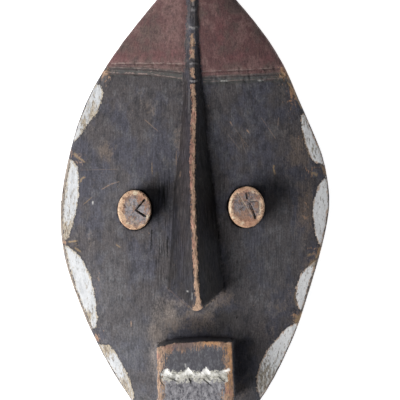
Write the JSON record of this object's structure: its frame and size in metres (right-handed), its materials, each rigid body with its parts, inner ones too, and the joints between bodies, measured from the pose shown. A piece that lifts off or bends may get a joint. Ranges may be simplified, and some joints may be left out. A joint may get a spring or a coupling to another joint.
{
  "type": "carved wooden face mask",
  "caption": "Long wooden face mask with a tall ridge nose, tubular peg eyes, a projecting block mouth and a hollow back.",
  "frame": {"origin": "on the plane under the back rim, in the middle of the outline", "axes": "+Y towards the top of the forehead, +X to the right of the face as it is looked at, +Z out of the face"},
  "size_m": [0.2399, 0.46, 0.0828],
  "materials": {
    "painted_board": "charcoal paint worn to bare wood at the ridge and edges, maroon forehead, white clay facets",
    "branch_end": "dry end grain with drying cracks and a worn pale rim"
  },
  "bodies": {
    "root": {"mask_board": "painted_board", "left_eye": "branch_end", "right_eye": "branch_end"}
  },
  "joints": []
}
